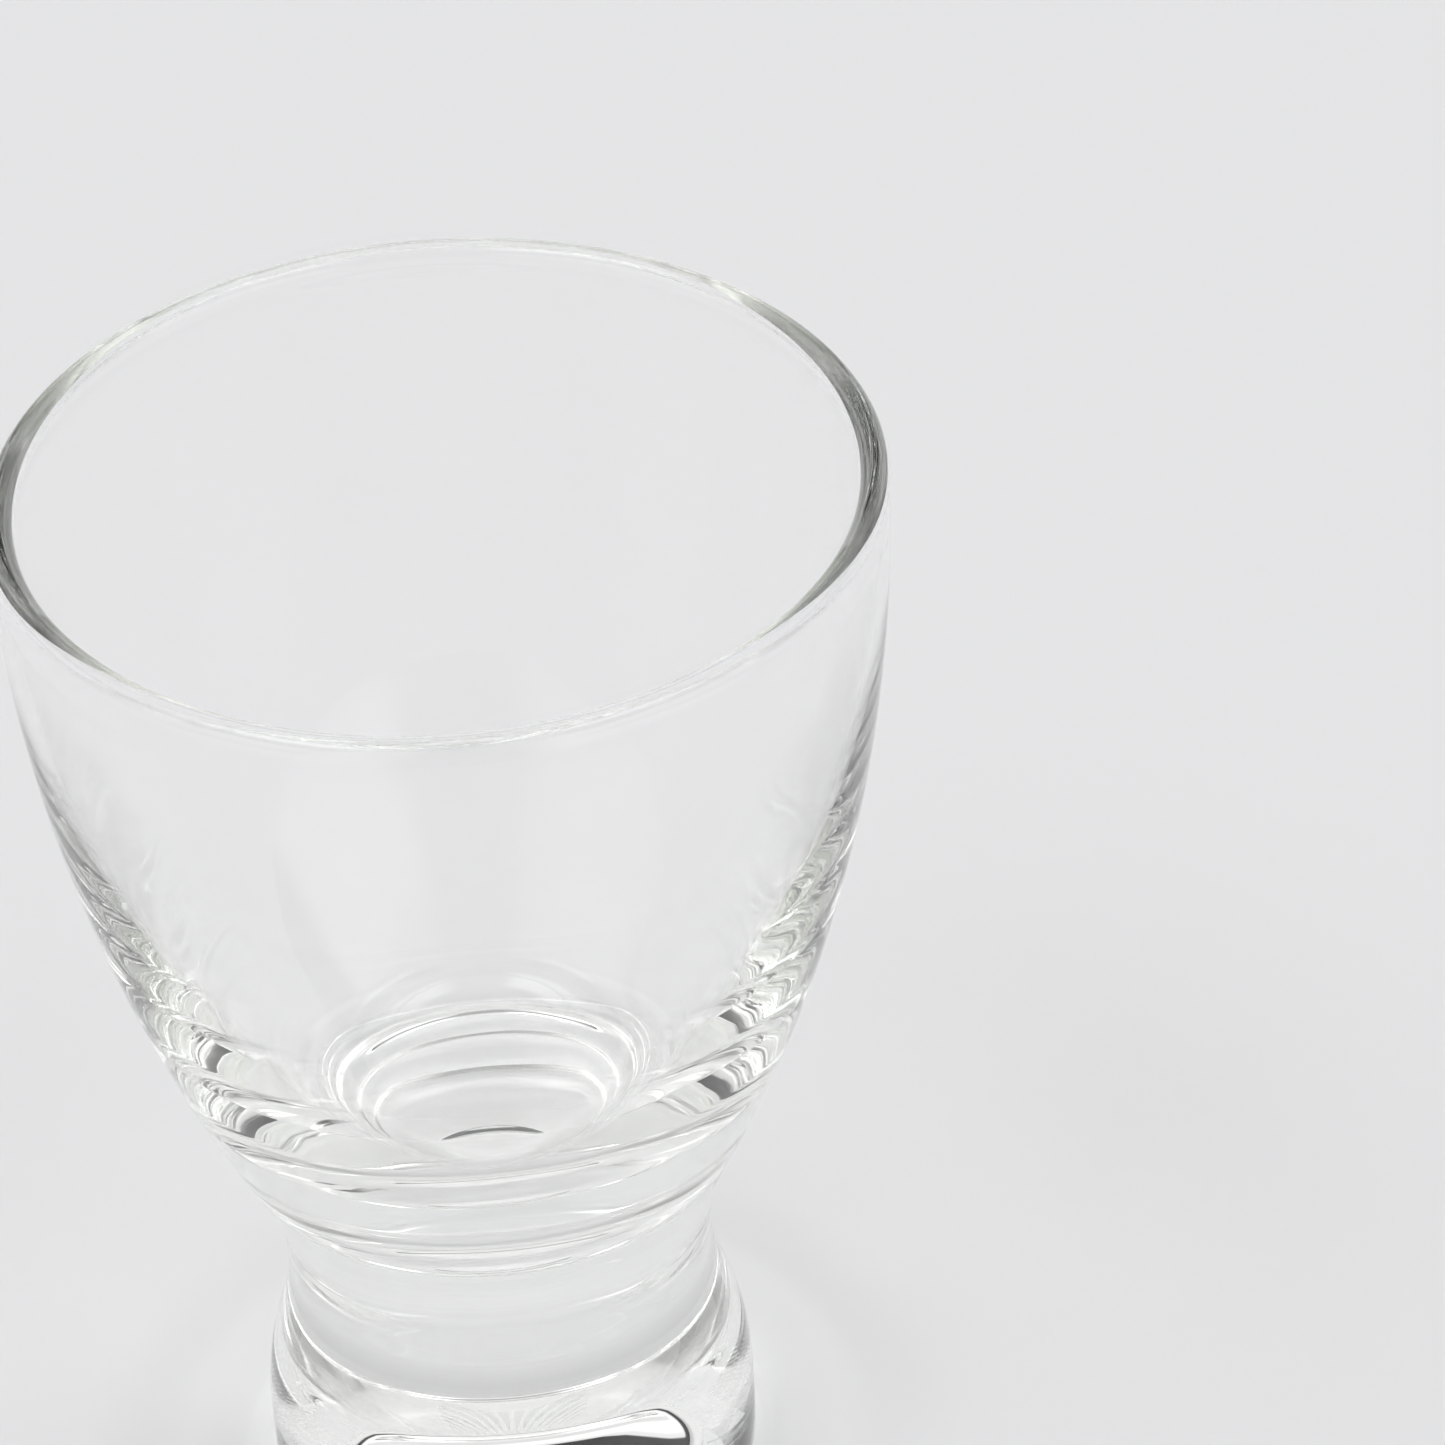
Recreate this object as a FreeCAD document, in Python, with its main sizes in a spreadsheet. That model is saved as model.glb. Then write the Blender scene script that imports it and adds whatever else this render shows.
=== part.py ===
import FreeCAD, Part
import math
import os
from enum import IntEnum

import Sketcher
from FreeCAD import Vector

# A footed glass: a round bowl on a solid waist and foot, all turned about Z.
# The origin is the centre of the resting plane, +Z up, millimetres.
#
# Two pieces of glass meet on the flat plane of the waist:
#   bowl - lip, wall, rounded cavity and the solid glass under it down to the waist
#   foot - the glass below the waist, with a rounded edge and a small hollow under it

SIZES = [
    ("overall_height", 130.5, "resting plane to the top of the lip"),
    ("rim_radius", 45.0, "outside of the lip"),
    ("lip_thickness", 3.0, "width of the rounded lip bead"),
    ("lip_blend", 14.0, "radius of the hollow between the lip bead and the inner wall"),
    ("wall_thickness", 2.3, "wall where the lip bead has run out into it"),
    ("cavity_base_radius", 16.2, "radius that the inner wall's curve would have at the cavity's floor"),
    ("cavity_corner_radius", 12.0, "rounding between the inner wall and the cavity's floor"),
    ("cavity_floor_radius", 100.0, "radius of the cavity's slightly domed floor"),
    ("cavity_floor_height", 44.7, "resting plane to the lowest point of the cavity"),
    ("waist_radius", 23.1, "narrowest radius of the glass"),
    ("waist_height", 31.5, "resting plane to the narrowest point"),
    ("waist_curve", 33.0, "radius of the hollow curve of the waist"),
    ("foot_radius", 26.8, "widest radius of the foot"),
    ("foot_belly_height", 9.5, "resting plane to the top of the foot's widest band"),
    ("foot_edge_radius", 2.3, "rounding of the foot's bottom edge"),
    ("punt_radius", 11.0, "radius of the hollow in the middle of the base"),
    ("punt_depth", 2.8, "height of that hollow above the resting plane"),
    ("punt_edge_radius", 2.0, "rounding where the hollow meets the resting ring"),
]


class Point(IntEnum):
    """The points of a sketch curve."""

    START = 1
    END = 2
    CENTRE = 3


class Datum(IntEnum):
    """The sketch's own origin and upright axis."""

    ORIGIN = -1
    Z_AXIS = -2


SLIGHT = 1e-6  # lengths closer than this are equal


def make_sheet(doc):
    """The spreadsheet of driving dimensions, one named cell to a row."""
    sheet = doc.addObject("Spreadsheet::Sheet", "Sizes")
    for row, (alias, value, note) in enumerate(SIZES, start=1):
        sheet.set(f"A{row}", alias)
        sheet.set(f"B{row}", str(value))
        sheet.setAlias(f"B{row}", alias)
        sheet.set(f"C{row}", note)
    doc.recompute()
    return sheet


def direction(start, end):
    """The angle of the line from one point to another, in radians."""
    return math.atan2(end[1] - start[1], end[0] - start[0])


def smooth_radius(sheet, radius, height):
    """The radius of the curve that is upright at a radius and a height and runs
    smoothly into the hollow curve of the waist."""
    across = sheet.waist_radius + sheet.waist_curve - radius
    along = height - sheet.waist_height
    return (across**2 + along**2 - sheet.waist_curve**2) / (2 * (sheet.waist_curve - across))


def arc_radius(across, along):
    """The radius of an arc that starts upright and comes in by one length over another."""
    return (across**2 + along**2) / (2 * across)


def nested_centre(first, first_radius, second, second_radius, radius):
    """The centre of a circle that touches two larger ones from inside: the one of the
    two such circles that is farther from the Z axis."""
    reach = first_radius - radius
    apart = math.dist(first, second)
    along = (reach**2 - (second_radius - radius) ** 2 + apart**2) / (2 * apart)
    aside = math.sqrt(reach**2 - along**2)
    step = ((second[0] - first[0]) / apart, (second[1] - first[1]) / apart)
    middle = (first[0] + along * step[0], first[1] + along * step[1])
    return max((middle[0] - side * step[1], middle[1] + side * step[0]) for side in (aside, -aside))


class Outline:
    """Half the section of a turned piece: a closed sketch with the radius along X
    and the height along Z, and every size bound to the sheet."""

    def __init__(self, body):
        self.sketch = body.newObject("Sketcher::SketchObject", f"{body.Name}_outline")
        plane = next(p for p in body.Origin.OriginFeatures if p.Role == "XZ_Plane")
        self.sketch.AttachmentSupport = [(plane, "")]
        self.sketch.MapMode = "FlatFace"

    def line(self, start, end):
        segment = Part.LineSegment(Vector(start[0], start[1], 0), Vector(end[0], end[1], 0))
        return self.sketch.addGeometry(segment, False)

    def point(self, place):
        """A point that guides the curves and isn't part of the section."""
        return self.sketch.addGeometry(Part.Point(Vector(place[0], place[1], 0)), True)

    def arc(self, centre, radius, start_angle, end_angle):
        """A counterclockwise arc; angles in radians."""
        circle = Part.Circle(Vector(centre[0], centre[1], 0), Vector(0, 0, 1), radius)
        turned = Part.ArcOfCircle(circle, start_angle % math.tau, end_angle % math.tau)
        return self.sketch.addGeometry(turned, False)

    def hold(self, kind, *where):
        return self.sketch.addConstraint(Sketcher.Constraint(kind, *where))

    def size(self, kind, *where, start, formula):
        """A dimension: its value now, and the sheet's formula that drives it."""
        index = self.hold(kind, *where, start)
        self.sketch.setExpression(f"Constraints[{index}]", formula)

    def radius(self, curve, start, formula):
        self.size("Radius", curve, start=start, formula=formula)

    def across(self, curve, point, start, formula):
        """The distance of a curve's point from the Z axis."""
        self.size("DistanceX", Datum.ORIGIN, Point.START, curve, point, start=start, formula=formula)

    def up(self, curve, point, start, formula):
        """The height of a curve's point above the resting plane."""
        self.size("DistanceY", Datum.ORIGIN, Point.START, curve, point, start=start, formula=formula)

    def on_axis(self, curve, point):
        self.hold("PointOnObject", curve, point, Datum.Z_AXIS)

    def upright_at(self, curve, point):
        """The arc stands upright where it ends: its centre is level with that point."""
        self.hold("Horizontal", curve, Point.CENTRE, curve, point)

    def waist_joint(self, sheet, joint, axis, waist, waist_end):
        """The flat face at the waist, closed by the axis, and the hollow curve that
        leaves it upright. Both pieces have the same one."""
        self.hold("Horizontal", joint)
        self.on_axis(joint, Point.START)
        self.hold("Coincident", axis, Point.END, joint, Point.START)
        self.across(joint, Point.END, sheet.waist_radius, "Sizes.waist_radius")
        self.up(joint, Point.END, sheet.waist_height, "Sizes.waist_height")
        self.hold("Coincident", joint, Point.END, waist, waist_end)
        self.upright_at(waist, waist_end)
        self.radius(waist, sheet.waist_curve, "Sizes.waist_curve")

    def revolve(self, body):
        """Turns the outline a full circle about the Z axis."""
        if self.sketch.solve() != 0 or not self.sketch.FullyConstrained:
            raise RuntimeError(f"{self.sketch.Name} isn't fully held by its sizes")
        turned = body.newObject("PartDesign::Revolution", f"{body.Name}_turned")
        turned.Profile = self.sketch
        turned.ReferenceAxis = (self.sketch, ["V_Axis"])
        turned.Angle = 360.0
        return turned


def make_body(doc, label):
    body = doc.addObject("PartDesign::Body", label)
    body.Label = label
    body.Placement = FreeCAD.Placement()
    return body


def make_bowl(doc, sheet):
    """The bowl: outer wall from the waist to the lip, the rounded lip bead, the inner
    wall, the rounded corner and the almost flat floor of the cavity."""
    body = make_body(doc, "bowl")
    outline = Outline(body)

    bead = sheet.lip_thickness / 2
    lip_height = sheet.overall_height - bead
    wall_radius = smooth_radius(sheet, sheet.rim_radius, lip_height)
    waist_centre = (sheet.waist_radius + sheet.waist_curve, sheet.waist_height)
    wall_centre = (sheet.rim_radius - wall_radius, lip_height)
    lip_centre = (sheet.rim_radius - bead, lip_height)

    mouth_radius = sheet.rim_radius - sheet.wall_thickness
    hollow_across = lip_centre[0] - mouth_radius + sheet.lip_blend
    hollow_drop = math.sqrt((bead + sheet.lip_blend) ** 2 - hollow_across**2)
    hollow_centre = (mouth_radius - sheet.lip_blend, lip_height - hollow_drop)

    inner_radius = arc_radius(mouth_radius - sheet.cavity_base_radius, hollow_centre[1] - sheet.cavity_floor_height)
    inner_centre = (mouth_radius - inner_radius, hollow_centre[1])
    floor_radius = sheet.cavity_floor_radius
    floor_centre = (0, sheet.cavity_floor_height + floor_radius)
    corner_radius = sheet.cavity_corner_radius
    corner_centre = nested_centre(floor_centre, floor_radius, inner_centre, inner_radius, corner_radius)
    floor_turn = direction(floor_centre, corner_centre)
    inner_turn = direction(inner_centre, corner_centre)

    joint = outline.line((0, sheet.waist_height), (sheet.waist_radius, sheet.waist_height))
    waist = outline.arc(waist_centre, sheet.waist_curve, direction(waist_centre, wall_centre), math.pi)
    wall = outline.arc(wall_centre, wall_radius, direction(wall_centre, waist_centre), 0)
    lip = outline.arc(lip_centre, bead, 0, direction(lip_centre, hollow_centre))
    hollow = outline.arc(hollow_centre, sheet.lip_blend, 0, direction(hollow_centre, lip_centre))
    inner = outline.arc(inner_centre, inner_radius, inner_turn, 0)
    corner = outline.arc(corner_centre, corner_radius, floor_turn, inner_turn)
    floor = outline.arc(floor_centre, floor_radius, -math.pi / 2, floor_turn)
    axis = outline.line((0, sheet.cavity_floor_height), (0, sheet.waist_height))

    outline.waist_joint(sheet, joint, axis, waist, Point.END)
    outline.hold("Tangent", waist, Point.START, wall, Point.START)
    outline.across(wall, Point.END, sheet.rim_radius, "Sizes.rim_radius")
    outline.up(wall, Point.END, lip_height, "Sizes.overall_height - Sizes.lip_thickness / 2")
    outline.upright_at(wall, Point.END)

    outline.hold("Tangent", wall, Point.END, lip, Point.START)
    outline.radius(lip, bead, "Sizes.lip_thickness / 2")
    outline.hold("Tangent", lip, Point.END, hollow, Point.END)
    outline.radius(hollow, sheet.lip_blend, "Sizes.lip_blend")
    outline.across(hollow, Point.START, mouth_radius, "Sizes.rim_radius - Sizes.wall_thickness")
    outline.upright_at(hollow, Point.START)

    outline.hold("Tangent", hollow, Point.START, inner, Point.END)
    base = outline.point((sheet.cavity_base_radius, sheet.cavity_floor_height))
    outline.across(base, Point.START, sheet.cavity_base_radius, "Sizes.cavity_base_radius")
    outline.up(base, Point.START, sheet.cavity_floor_height, "Sizes.cavity_floor_height")
    outline.hold("PointOnObject", base, Point.START, inner)
    outline.hold("Tangent", inner, Point.START, corner, Point.END)
    outline.radius(corner, corner_radius, "Sizes.cavity_corner_radius")
    outline.hold("Tangent", corner, Point.START, floor, Point.END)
    outline.radius(floor, floor_radius, "Sizes.cavity_floor_radius")
    outline.on_axis(floor, Point.CENTRE)
    outline.on_axis(floor, Point.START)
    outline.up(floor, Point.START, sheet.cavity_floor_height, "Sizes.cavity_floor_height")
    outline.hold("Coincident", floor, Point.START, axis, Point.START)

    outline.revolve(body)
    return body


def make_foot(doc, sheet):
    """The foot: the lower half of the waist, the belly, the rounded bottom edge, the
    flat resting ring and the punt."""
    body = make_body(doc, "foot")
    outline = Outline(body)

    edge = sheet.foot_edge_radius
    edge_centre = (sheet.foot_radius - edge, edge)
    belly_radius = smooth_radius(sheet, sheet.foot_radius, sheet.foot_belly_height)
    belly_centre = (sheet.foot_radius - belly_radius, sheet.foot_belly_height)
    waist_centre = (sheet.waist_radius + sheet.waist_curve, sheet.waist_height)
    ring = sheet.punt_radius
    dome_radius = (ring**2 + sheet.punt_depth**2) / (2 * sheet.punt_depth)
    dome_centre = (0, sheet.punt_depth - dome_radius)

    joint = outline.line((0, sheet.waist_height), (sheet.waist_radius, sheet.waist_height))
    waist = outline.arc(waist_centre, sheet.waist_curve, math.pi, direction(waist_centre, belly_centre))
    belly = outline.arc(belly_centre, belly_radius, 0, direction(belly_centre, waist_centre))
    side = outline.line((sheet.foot_radius, sheet.foot_belly_height), (sheet.foot_radius, edge))
    corner = outline.arc(edge_centre, edge, -math.pi / 2, 0)
    rest = outline.line((edge_centre[0], 0), (ring, 0))
    punt = outline.arc(dome_centre, dome_radius, direction(dome_centre, (ring, 0)), math.pi / 2)
    axis = outline.line((0, sheet.punt_depth), (0, sheet.waist_height))

    outline.waist_joint(sheet, joint, axis, waist, Point.START)
    outline.hold("Tangent", waist, Point.END, belly, Point.END)
    outline.across(belly, Point.START, sheet.foot_radius, "Sizes.foot_radius")
    outline.up(belly, Point.START, sheet.foot_belly_height, "Sizes.foot_belly_height")

    outline.hold("Vertical", side)
    outline.hold("Tangent", belly, Point.START, side, Point.START)
    outline.hold("Tangent", side, Point.END, corner, Point.END)
    outline.radius(corner, edge, "Sizes.foot_edge_radius")
    outline.hold("Tangent", corner, Point.START, rest, Point.START)
    outline.hold("Horizontal", rest)
    outline.hold("PointOnObject", rest, Point.START, Datum.ORIGIN)

    outline.across(rest, Point.END, ring, "Sizes.punt_radius")
    outline.hold("Coincident", rest, Point.END, punt, Point.START)
    outline.on_axis(punt, Point.CENTRE)
    outline.on_axis(punt, Point.END)
    outline.up(punt, Point.END, sheet.punt_depth, "Sizes.punt_depth")
    outline.hold("Coincident", punt, Point.END, axis, Point.START)

    turned = outline.revolve(body)
    doc.recompute()
    soften = body.newObject("PartDesign::Fillet", "punt_edge")
    soften.Base = (turned, [ring_edge(turned.Shape, ring)])
    soften.setExpression("Radius", "Sizes.punt_edge_radius")
    return body


def ring_edge(shape, radius):
    """The name of the circle of that radius on the resting plane."""
    for index, edge in enumerate(shape.Edges, start=1):
        lies_flat = edge.BoundBox.ZMax < SLIGHT
        if lies_flat and isinstance(edge.Curve, Part.Circle) and abs(edge.Curve.Radius - radius) < SLIGHT:
            return f"Edge{index}"
    raise RuntimeError(f"no circle of radius {radius} on the resting plane")


def check(doc, bodies):
    """Stops the build if a feature failed or a piece isn't one valid solid."""
    for item in doc.Objects:
        if "Invalid" in item.State or "Error" in item.State:
            raise RuntimeError(f"{item.Name} failed: {item.State}")
    for body in bodies:
        if body.Shape.isNull() or not body.Shape.isValid() or len(body.Shape.Solids) != 1:
            raise RuntimeError(f"{body.Label} isn't one valid solid")


def main():
    doc = FreeCAD.newDocument("footed_glass")
    sheet = make_sheet(doc)
    bodies = [make_bowl(doc, sheet), make_foot(doc, sheet)]
    doc.recompute()
    check(doc, bodies)
    os.makedirs("parts", exist_ok=True)
    for body in bodies:
        body.Shape.exportStep(f"parts/{body.Label}.step")
        print(body.Label, f"{body.Shape.Volume / 1000:.1f} cm3")


main()
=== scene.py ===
"""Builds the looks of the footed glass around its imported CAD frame, and the studio it stands in."""

import logging
import math
from dataclasses import dataclass

import bmesh
import bpy
from mathutils import Matrix, Vector

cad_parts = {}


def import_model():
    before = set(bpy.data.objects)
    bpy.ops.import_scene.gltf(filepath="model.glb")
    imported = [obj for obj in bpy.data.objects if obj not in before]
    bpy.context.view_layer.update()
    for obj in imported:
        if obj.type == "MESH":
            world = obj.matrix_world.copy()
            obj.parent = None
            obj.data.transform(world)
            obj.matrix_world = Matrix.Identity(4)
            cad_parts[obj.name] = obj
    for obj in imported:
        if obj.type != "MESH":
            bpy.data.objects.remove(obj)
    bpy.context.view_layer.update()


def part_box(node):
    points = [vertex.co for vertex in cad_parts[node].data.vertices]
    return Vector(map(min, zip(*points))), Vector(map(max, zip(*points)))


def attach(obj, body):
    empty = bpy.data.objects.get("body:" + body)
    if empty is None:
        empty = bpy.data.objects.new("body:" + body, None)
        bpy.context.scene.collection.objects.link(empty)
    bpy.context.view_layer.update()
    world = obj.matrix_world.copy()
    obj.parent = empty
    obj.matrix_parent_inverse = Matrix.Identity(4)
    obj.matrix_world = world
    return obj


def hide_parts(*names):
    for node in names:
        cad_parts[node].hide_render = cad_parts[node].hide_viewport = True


log = logging.getLogger("footed_glass")

UP = Vector((0.0, 0.0, 1.0))
SIDEWAYS = Vector((0.0, -1.0, 0.0))
FULL_TURN = math.tau
HALF_CIRCLE = 180.0  # degrees
MERGE_DISTANCE = 1e-6  # metres; vertices closer than this become one


@dataclass(frozen=True)
class ClearGlass:
    """Fire-polished soda-lime glass: clear in thin walls, faintly grey-green in depth, hardly wavy.

    The depth of the waves is in metres.
    """

    ior: float = 1.52
    tint: tuple[float, float, float] = (0.96, 0.97, 0.94)
    density: float = 5.0
    wave_scale: float = 45.0
    wave_depth: float = 0.00012
    wave_detail: float = 1.0

    def material(self) -> bpy.types.Material:
        """Makes the glass material.

        Returns:
            The material.
        """
        made = bpy.data.materials.new("clear_glass")
        made.use_nodes = True
        nodes, links = made.node_tree.nodes, made.node_tree.links
        shader = nodes["Principled BSDF"]
        shader.inputs["Base Color"].default_value = (1.0, 1.0, 1.0, 1.0)
        shader.inputs["Roughness"].default_value = 0.0
        shader.inputs["IOR"].default_value = self.ior
        shader.inputs["Transmission Weight"].default_value = 1.0
        links.new(self.wavy_skin(made.node_tree), shader.inputs["Normal"])
        depth = nodes.new("ShaderNodeVolumeAbsorption")
        depth.inputs["Color"].default_value = (*self.tint, 1.0)
        depth.inputs["Density"].default_value = self.density
        links.new(depth.outputs["Volume"], nodes["Material Output"].inputs["Volume"])
        return made

    def wavy_skin(self, tree: bpy.types.NodeTree) -> bpy.types.NodeSocket:
        """Makes the slight waves that fire-polishing leaves on the skin.

        Args:
            tree: The material's nodes.

        Returns:
            The waving normal.
        """
        place = tree.nodes.new("ShaderNodeTexCoord").outputs["Object"]
        waves = tree.nodes.new("ShaderNodeTexNoise")
        waves.inputs["Scale"].default_value = self.wave_scale
        waves.inputs["Detail"].default_value = self.wave_detail
        tree.links.new(place, waves.inputs["Vector"])
        skin = tree.nodes.new("ShaderNodeBump")
        skin.inputs["Distance"].default_value = self.wave_depth
        tree.links.new(waves.outputs["Fac"], skin.inputs["Height"])
        return skin.outputs["Normal"]


@dataclass(frozen=True)
class PaleSurface:
    """The plain pale table that the glass stands on."""

    colour: tuple[float, float, float] = (0.80, 0.80, 0.81)
    roughness: float = 0.9

    def material(self) -> bpy.types.Material:
        """Makes the table's material.

        Returns:
            The material.
        """
        made = bpy.data.materials.new("pale_table")
        made.use_nodes = True
        shader = made.node_tree.nodes["Principled BSDF"]
        shader.inputs["Base Color"].default_value = (*self.colour, 1.0)
        shader.inputs["Roughness"].default_value = self.roughness
        shader.inputs["Specular IOR Level"].default_value = 0.0
        return made


@dataclass(frozen=True)
class Arc:
    """A round stretch of a section in the XZ plane, from one angle to another about a centre."""

    centre: tuple[float, float]
    radius: float
    start: float
    end: float

    def point(self, angle: float) -> Vector:
        """The point of the arc at an angle, in the XZ plane."""
        across = self.centre[0] + self.radius * math.cos(angle)
        return Vector((across, 0.0, self.centre[1] + self.radius * math.sin(angle)))

    @property
    def length(self) -> float:
        """The arc's own length."""
        return abs(self.end - self.start) * self.radius


def direction(start: tuple[float, float], end: tuple[float, float]) -> float:
    """The angle of the line from one point of the section to another.

    Args:
        start: Radius and height of the first point.
        end: Radius and height of the second point.

    Returns:
        The angle in radians, counterclockwise from the radius axis.
    """
    return math.atan2(end[1] - start[1], end[0] - start[0])


def nested_centre(
    first: tuple[float, float], first_radius: float,
    second: tuple[float, float], second_radius: float, radius: float,
) -> tuple[float, float]:
    """The centre of a circle that touches two larger ones from inside, the one farther from the axis.

    Args:
        first: Centre of the first large circle.
        first_radius: Its radius.
        second: Centre of the second large circle.
        second_radius: Its radius.
        radius: Radius of the small circle.

    Returns:
        The small circle's centre.
    """
    reach = first_radius - radius
    apart = math.dist(first, second)
    along = (reach**2 - (second_radius - radius) ** 2 + apart**2) / (2 * apart)
    aside = math.sqrt(reach**2 - along**2)
    step = ((second[0] - first[0]) / apart, (second[1] - first[1]) / apart)
    middle = (first[0] + along * step[0], first[1] + along * step[1])
    return max((middle[0] - side * step[1], middle[1] + side * step[0]) for side in (aside, -aside))


@dataclass
class GlassVessel:
    """The whole vessel as one body of glass, from the hollow under the foot to the lip, in metres."""

    rim_radius: float
    overall_height: float
    waist_height: float
    foot_radius: float
    lip_thickness: float = 0.003
    lip_blend: float = 0.014
    wall_thickness: float = 0.0023
    cavity_base_radius: float = 0.0162
    cavity_corner_radius: float = 0.012
    cavity_floor_radius: float = 0.1
    cavity_floor_height: float = 0.0447
    waist_radius: float = 0.0231
    waist_curve: float = 0.033
    foot_belly_height: float = 0.0095
    foot_edge_radius: float = 0.0023
    punt_radius: float = 0.011
    punt_depth: float = 0.0028
    punt_edge_radius: float = 0.002
    steps_round: int = 288
    step_length: float = 0.0009
    least_steps: int = 10
    finish: ClearGlass = ClearGlass()

    def smooth_radius(self, radius: float, height: float) -> float:
        """The radius of the curve that is upright at a point and runs smoothly into the waist's.

        Args:
            radius: The point's distance from the axis.
            height: The point's height.

        Returns:
            The curve's radius.
        """
        across = self.waist_radius + self.waist_curve - radius
        along = height - self.waist_height
        return (across**2 + along**2 - self.waist_curve**2) / (2 * (self.waist_curve - across))

    def section(self) -> list[Arc]:
        """The section's round stretches, from the cavity's floor over the lip to the base.

        Returns:
            The arcs in order; straight stretches join one arc's end to the next one's start.
        """
        return [*self.cavity_arcs(), *self.outer_arcs(), *self.base_arcs()]

    def lip_centre(self) -> tuple[float, float]:
        """The centre of the lip's bead."""
        bead = self.lip_thickness / 2
        return (self.rim_radius - bead, self.overall_height - bead)

    def cavity_arcs(self) -> list[Arc]:
        """The inside: the cavity's floor, corner and wall, and the hollow under the lip.

        Returns:
            The arcs from the axis up to the lip's bead.
        """
        bead = self.lip_thickness / 2
        lip = self.lip_centre()
        mouth_radius = self.rim_radius - self.wall_thickness
        hollow_across = lip[0] - mouth_radius + self.lip_blend
        hollow_drop = math.sqrt((bead + self.lip_blend) ** 2 - hollow_across**2)
        hollow = (mouth_radius - self.lip_blend, lip[1] - hollow_drop)
        across, along = mouth_radius - self.cavity_base_radius, hollow[1] - self.cavity_floor_height
        wall_radius = (across**2 + along**2) / (2 * across)
        wall = (mouth_radius - wall_radius, hollow[1])
        floor = (0.0, self.cavity_floor_height + self.cavity_floor_radius)
        corner = nested_centre(floor, self.cavity_floor_radius, wall, wall_radius, self.cavity_corner_radius)
        floor_turn, wall_turn = direction(floor, corner), direction(wall, corner)
        return [
            Arc(floor, self.cavity_floor_radius, -math.pi / 2, floor_turn),
            Arc(corner, self.cavity_corner_radius, floor_turn, wall_turn),
            Arc(wall, wall_radius, wall_turn, 0.0),
            Arc(hollow, self.lip_blend, 0.0, direction(hollow, lip)),
            Arc(lip, bead, direction(lip, hollow) + FULL_TURN, 0.0),
        ]

    def outer_arcs(self) -> list[Arc]:
        """The outside: the wall, the waist, the foot's belly and its rounded edge.

        Returns:
            The arcs from the lip's bead down to the resting plane.
        """
        lip_height = self.lip_centre()[1]
        waist = (self.waist_radius + self.waist_curve, self.waist_height)
        wall_radius = self.smooth_radius(self.rim_radius, lip_height)
        wall = (self.rim_radius - wall_radius, lip_height)
        belly_radius = self.smooth_radius(self.foot_radius, self.foot_belly_height)
        belly = (self.foot_radius - belly_radius, self.foot_belly_height)
        edge = (self.foot_radius - self.foot_edge_radius, self.foot_edge_radius)
        return [
            Arc(wall, wall_radius, 0.0, direction(wall, waist)),
            Arc(waist, self.waist_curve, direction(waist, wall), direction(waist, belly) + FULL_TURN),
            Arc(belly, belly_radius, direction(belly, waist), 0.0),
            Arc(edge, self.foot_edge_radius, 0.0, -math.pi / 2),
        ]

    def base_arcs(self) -> list[Arc]:
        """The base: the rounded edge of the resting ring and the hollow inside it.

        Returns:
            The arcs from the resting ring in to the axis.
        """
        rounding = self.punt_edge_radius
        dome_radius = (self.punt_radius**2 + self.punt_depth**2) / (2 * self.punt_depth)
        dome = (0.0, self.punt_depth - dome_radius)
        edge = (math.sqrt((dome_radius + rounding) ** 2 - (rounding - dome[1]) ** 2), rounding)
        return [
            Arc(edge, rounding, -math.pi / 2, direction(edge, dome)),
            Arc(dome, dome_radius, direction(dome, edge), math.pi / 2),
        ]

    def build(self) -> bpy.types.Object:
        """Turns the section about the axis into one closed shell of glass.

        Returns:
            The vessel's object, at the origin.
        """
        bm = bmesh.new()
        last = None
        for arc in self.section():
            last = draw_arc(bm, arc, last, self.steps(arc))
        bmesh.ops.spin(
            bm, geom=bm.verts[:] + bm.edges[:], cent=(0, 0, 0), axis=UP, angle=FULL_TURN,
            steps=self.steps_round, use_merge=True, use_duplicate=False,
        )
        bmesh.ops.remove_doubles(bm, verts=bm.verts[:], dist=MERGE_DISTANCE)
        bmesh.ops.recalc_face_normals(bm, faces=bm.faces[:])
        return finish_mesh(bm, "glass_vessel")

    def steps(self, arc: Arc) -> int:
        """How many edges an arc is drawn with."""
        return max(self.least_steps, round(arc.length / self.step_length))

    def dress(self, glass: bpy.types.Object) -> None:
        """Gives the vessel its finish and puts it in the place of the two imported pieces.

        Args:
            glass: The vessel's object.
        """
        glass.data.materials.append(self.finish.material())
        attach(glass, "root")
        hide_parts("bowl", "foot")


def draw_arc(
    bm: bmesh.types.BMesh, arc: Arc, last: bmesh.types.BMVert | None, steps: int
) -> bmesh.types.BMVert:
    """Draws an arc as a chain of edges, by spinning its first vertex about its centre.

    Args:
        bm: The mesh to draw in.
        arc: The arc.
        last: The end of the chain so far, or None at the chain's start.
        steps: How many edges to draw.

    Returns:
        The vertex at the arc's end.
    """
    start = arc.point(arc.start)
    if last is None:
        first = bm.verts.new(start)
    elif (last.co - start).length < MERGE_DISTANCE:
        first = last
    else:
        first = bm.verts.new(start)
        bm.edges.new((last, first))
    centre = Vector((arc.centre[0], 0.0, arc.centre[1]))
    turned = bmesh.ops.spin(
        bm, geom=[first], cent=centre, axis=SIDEWAYS, angle=arc.end - arc.start, steps=steps,
        use_merge=False, use_duplicate=False,
    )
    return next(v for v in turned["geom_last"] if isinstance(v, bmesh.types.BMVert))


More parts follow.
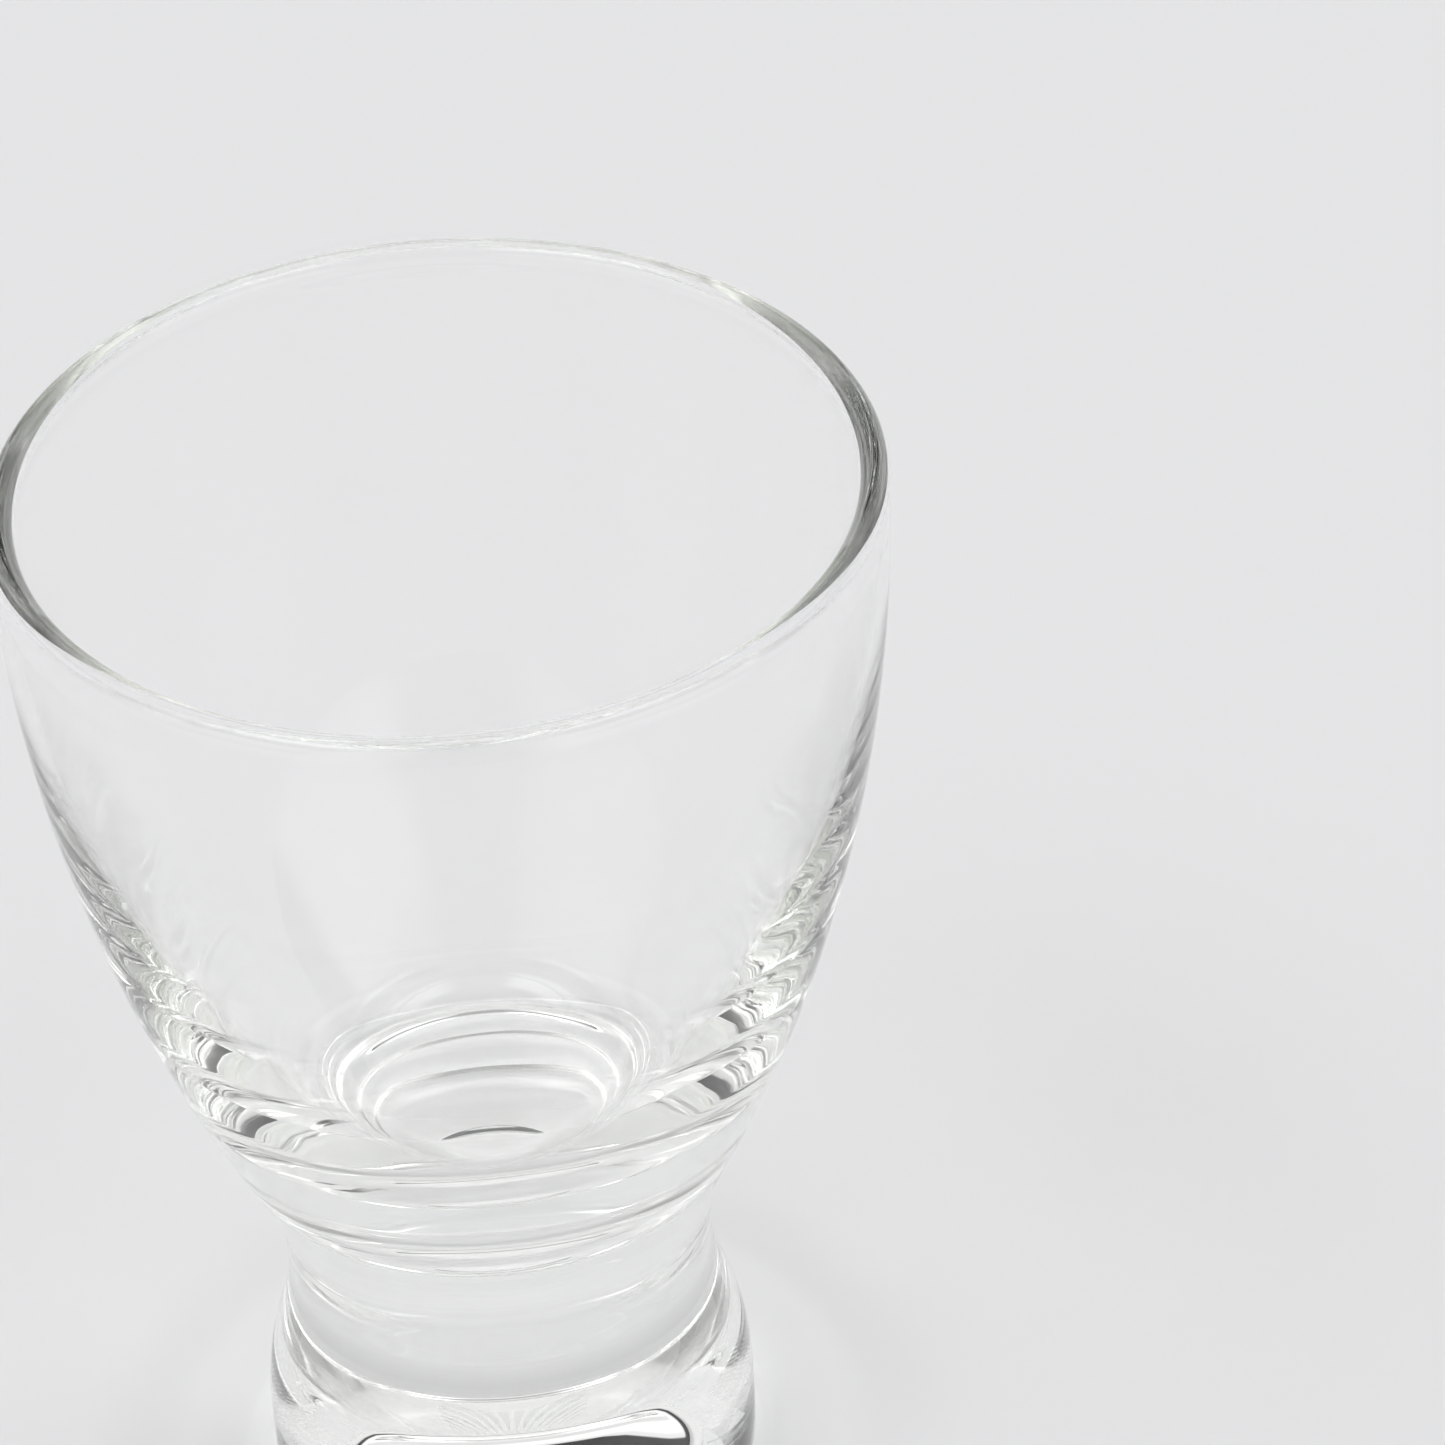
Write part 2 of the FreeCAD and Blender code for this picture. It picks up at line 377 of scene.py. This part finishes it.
def finish_mesh(bm: bmesh.types.BMesh, name: str) -> bpy.types.Object:
    """Makes a smooth-shaded object of a mesh.

    Args:
        bm: The mesh, which is freed.
        name: The object's name.

    Returns:
        The object, linked to the scene.
    """
    mesh = bpy.data.meshes.new(name)
    for face in bm.faces:
        face.smooth = True
    bm.to_mesh(mesh)
    bm.free()
    made = bpy.data.objects.new(name, mesh)
    bpy.context.scene.collection.objects.link(made)
    return made


@dataclass(frozen=True)
class Glow:
    """A soft-edged stretch of the room, brighter or darker than what lies under it.

    Angles are in degrees: turn is how far right of straight behind the glass its middle stands, and
    rise how far above the table. Softness is how far its edges fade to either side, as a share of
    its half sizes.
    """

    turn: float
    rise: float
    half_width: float
    half_height: float
    strength: float
    softness: float = 0.4


ALL_ROUND = 400.0  # a half width, in degrees, that leaves no gap in a ring of the room


@dataclass(frozen=True)
class Room:
    """The soft light all round the table: an even pale room, its windows and its dimmer stretches."""

    low_level: float = 0.8
    high_level: float = 0.9
    low_rise: float = 14.0
    high_rise: float = 30.0
    glows: tuple[Glow, ...] = (
        # bright low walls in front of the glass, right and left
        Glow(turn=135.0, rise=8.0, half_width=42.0, half_height=9.0, strength=1.5),
        Glow(turn=-112.0, rise=10.0, half_width=38.0, half_height=11.0, strength=1.3),
        # low dark corners, right and left
        Glow(turn=88.0, rise=10.0, half_width=16.0, half_height=14.0, strength=0.05),
        Glow(turn=-55.0, rise=4.0, half_width=30.0, half_height=5.0, strength=0.05),
        # the wall behind the glass, with a darker piece above it on each side
        Glow(turn=0.0, rise=18.0, half_width=45.0, half_height=5.0, strength=1.2),
        Glow(turn=45.0, rise=27.0, half_width=26.0, half_height=5.0, strength=0.1),
        Glow(turn=-45.0, rise=27.0, half_width=26.0, half_height=5.0, strength=0.15),
        # the lower windows, right and left
        Glow(turn=118.0, rise=26.5, half_width=20.0, half_height=4.5, strength=2.3),
        Glow(turn=-120.0, rise=26.5, half_width=18.0, half_height=4.5, strength=2.3),
        # the soft upper edge of the dim band round the room, then the band itself
        Glow(turn=0.0, rise=39.0, half_width=ALL_ROUND, half_height=3.0, strength=0.6),
        Glow(turn=0.0, rise=32.5, half_width=ALL_ROUND, half_height=5.0, strength=0.03, softness=0.2),
        # the shade behind the camera
        Glow(turn=180.0, rise=24.0, half_width=20.0, half_height=28.0, strength=0.35),
        # the upper windows, right and left
        Glow(turn=120.0, rise=59.0, half_width=30.0, half_height=7.5, strength=3.4),
        Glow(turn=-120.0, rise=58.0, half_width=32.0, half_height=8.5, strength=4.1),
    )

    def world(self) -> bpy.types.World:
        """Makes the room as a world of light.

        Returns:
            The world.
        """
        world = bpy.data.worlds.new("room")
        world.use_nodes = True
        tree = world.node_tree
        toward = tree.nodes.new("ShaderNodeTexCoord").outputs["Generated"]
        parts = tree.nodes.new("ShaderNodeSeparateXYZ")
        tree.links.new(toward, parts.inputs["Vector"])
        turn = in_degrees(tree, "ARCTAN2", parts.outputs["X"], parts.outputs["Y"])
        rise = in_degrees(tree, "ARCSINE", parts.outputs["Z"])
        brightness = self.wall_level(tree, rise)
        group = glow_group()
        for glow in self.glows:
            brightness = lay_glow(tree, group, glow, (turn, rise, brightness))
        background = tree.nodes["Background"]
        background.inputs["Color"].default_value = (1.0, 1.0, 1.0, 1.0)
        tree.links.new(brightness, background.inputs["Strength"])
        return world

    def wall_level(self, tree: bpy.types.NodeTree, rise: bpy.types.NodeSocket) -> bpy.types.NodeSocket:
        """Works out the room's own level, which is a little higher up the walls.

        Args:
            tree: The world's nodes.
            rise: The height angle, in degrees.

        Returns:
            The level.
        """
        wall = tree.nodes.new("ShaderNodeMapRange")
        wall.interpolation_type = "SMOOTHSTEP"
        wall.inputs["From Min"].default_value = self.low_rise
        wall.inputs["From Max"].default_value = self.high_rise
        wall.inputs["To Min"].default_value = self.low_level
        wall.inputs["To Max"].default_value = self.high_level
        tree.links.new(rise, wall.inputs["Value"])
        return wall.outputs["Result"]


def lay_glow(
    tree: bpy.types.NodeTree, group: bpy.types.NodeTree, glow: Glow, seen: tuple[bpy.types.NodeSocket, ...]
) -> bpy.types.NodeSocket:
    """Lays one glow over the room.

    Args:
        tree: The world's nodes.
        group: The node group that all glows share.
        glow: The glow.
        seen: The turn, the rise and the brightness so far.

    Returns:
        The brightness with the glow.
    """
    node = tree.nodes.new("ShaderNodeGroup")
    node.node_tree = group
    for name, source in zip(("Turn", "Rise", "Under"), seen):
        tree.links.new(source, node.inputs[name])
    for name, value in (
        ("Centre Turn", glow.turn), ("Centre Rise", glow.rise), ("Half Width", glow.half_width),
        ("Half Height", glow.half_height), ("Strength", glow.strength),
        ("Inner Edge", 1.0 - glow.softness), ("Outer Edge", 1.0 + glow.softness),
    ):
        node.inputs[name].default_value = value
    return node.outputs["Brightness"]


def in_degrees(
    tree: bpy.types.NodeTree, operation: str, *values: bpy.types.NodeSocket
) -> bpy.types.NodeSocket:
    """Works out an angle with a math node and turns it into degrees.

    Args:
        tree: The tree to add to.
        operation: The inverse function.
        values: Its values in order.

    Returns:
        The angle in degrees.
    """
    return math_node(tree, "DEGREES", math_node(tree, operation, *values))


def math_node(
    tree: bpy.types.NodeTree, operation: str, *values: bpy.types.NodeSocket | float
) -> bpy.types.NodeSocket:
    """Adds a math node.

    Args:
        tree: The tree to add to.
        operation: What the node works out.
        values: Its values in order; a socket is linked and a number is set.

    Returns:
        The node's output.
    """
    node = tree.nodes.new("ShaderNodeMath")
    node.operation = operation
    for socket, value in zip(node.inputs, values):
        if isinstance(value, bpy.types.NodeSocket):
            tree.links.new(value, socket)
        else:
            socket.default_value = value
    return node.outputs["Value"]


def glow_group() -> bpy.types.NodeTree:
    """Makes the node group that lays one soft-edged stretch over the room's brightness.

    Returns:
        The group.
    """
    group = bpy.data.node_groups.new("glow", "ShaderNodeTree")
    for name in ("Turn", "Rise", "Under", "Centre Turn", "Centre Rise", "Half Width", "Half Height",
                 "Strength", "Inner Edge", "Outer Edge"):
        group.interface.new_socket(name, in_out="INPUT", socket_type="NodeSocketFloat")
    group.interface.new_socket("Brightness", in_out="OUTPUT", socket_type="NodeSocketFloat")
    given = group.nodes.new("NodeGroupInput").outputs
    result = group.nodes.new("NodeGroupOutput").inputs["Brightness"]
    aside = math_node(group, "SUBTRACT", given["Turn"], given["Centre Turn"])
    aside = math_node(group, "WRAP", aside, HALF_CIRCLE, -HALF_CIRCLE)
    above = math_node(group, "SUBTRACT", given["Rise"], given["Centre Rise"])
    along = cover(group, aside, given["Half Width"], given)
    upward = cover(group, above, given["Half Height"], given)
    share = math_node(group, "MULTIPLY", along, upward)
    step = math_node(group, "SUBTRACT", given["Strength"], given["Under"])
    added = math_node(group, "MULTIPLY", share, step)
    group.links.new(math_node(group, "ADD", given["Under"], added), result)
    return group


def cover(
    group: bpy.types.NodeTree, offset: bpy.types.NodeSocket, half_size: bpy.types.NodeSocket,
    given: bpy.types.NodeOutputs,
) -> bpy.types.NodeSocket:
    """How far a stretch covers a direction along one of its two sizes.

    Args:
        group: The node group.
        offset: The direction's angle from the stretch's middle.
        half_size: The stretch's half size that way.
        given: The group's inputs, with the stretch's inner and outer edge.

    Returns:
        A share from 0 to 1.
    """
    share = math_node(group, "DIVIDE", math_node(group, "ABSOLUTE", offset), half_size)
    fade = group.nodes.new("ShaderNodeMapRange")
    fade.interpolation_type = "SMOOTHSTEP"
    fade.inputs["To Min"].default_value = 1.0
    fade.inputs["To Max"].default_value = 0.0
    group.links.new(share, fade.inputs["Value"])
    group.links.new(given["Inner Edge"], fade.inputs["From Min"])
    group.links.new(given["Outer Edge"], fade.inputs["From Max"])
    return fade.outputs["Result"]


@dataclass
class Studio:
    """The pale table, the soft light all round it and the camera.

    The camera's distance is counted in rim radii, from the middle of the mouth.
    """

    mouth_height: float
    rim_radius: float
    table_size: float = 6.0
    camera_distance: float = 13.229
    camera_elevation: float = math.radians(34.176)
    pan: float = math.radians(-3.153)
    tilt: float = math.radians(36.718)
    roll: float = math.radians(-3.005)
    sensor: float = 36.0
    lens: float = 149.48
    surface: PaleSurface = PaleSurface()
    room: Room = Room()

    def build(self) -> None:
        """Makes the table, the light and the camera."""
        self.build_table()
        self.build_light()
        self.build_camera()

    def build_table(self) -> None:
        """Lays the table under the glass."""
        bm = bmesh.new()
        bmesh.ops.create_grid(bm, x_segments=1, y_segments=1, size=self.table_size / 2)
        table = finish_mesh(bm, "table")
        table.data.materials.append(self.surface.material())

    def build_light(self) -> None:
        """Surrounds the table with the soft light of the room."""
        bpy.context.scene.world = self.room.world()

    def build_camera(self) -> None:
        """Stands the camera in front of the glass, looking down on it."""
        data = bpy.data.cameras.new("camera")
        data.sensor_width = self.sensor
        data.lens = self.lens
        camera = bpy.data.objects.new("camera", data)
        bpy.context.scene.collection.objects.link(camera)
        reach = self.camera_distance * self.rim_radius
        back, up = reach * math.cos(self.camera_elevation), reach * math.sin(self.camera_elevation)
        place = Vector((0.0, -back, up + self.mouth_height))
        turned = (
            Matrix.Rotation(self.pan, 4, "Z")
            @ Matrix.Rotation(math.pi / 2 - self.tilt, 4, "X")
            @ Matrix.Rotation(self.roll, 4, "Z")
        )
        camera.matrix_world = Matrix.Translation(place) @ turned
        bpy.context.scene.camera = camera


def set_light_paths(scene: bpy.types.Scene, turns: int = 64) -> None:
    """Lets light turn often enough inside thick glass, and keeps the light under the foot sharp.

    Args:
        scene: The scene.
        turns: How many times a path may be mirrored or bent.
    """
    scene.cycles.max_bounces = turns
    scene.cycles.glossy_bounces = turns
    scene.cycles.transmission_bounces = turns
    scene.cycles.blur_glossy = 0.0


def main() -> None:
    """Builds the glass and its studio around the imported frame."""
    logging.basicConfig(level=logging.INFO, format="%(name)s: %(message)s")
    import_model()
    bowl_low, bowl_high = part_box("bowl")
    foot_low, foot_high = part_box("foot")
    vessel = GlassVessel(
        rim_radius=(bowl_high.x - bowl_low.x) / 2,
        overall_height=bowl_high.z,
        waist_height=foot_high.z,
        foot_radius=(foot_high.x - foot_low.x) / 2,
    )
    glass = vessel.build()
    vessel.dress(glass)
    log.info("glass vessel: %d faces", len(glass.data.polygons))
    Studio(mouth_height=vessel.overall_height, rim_radius=vessel.rim_radius).build()
    set_light_paths(bpy.context.scene)
    bpy.context.scene.view_settings.view_transform = "Standard"


if __name__ == "__main__":
    main()
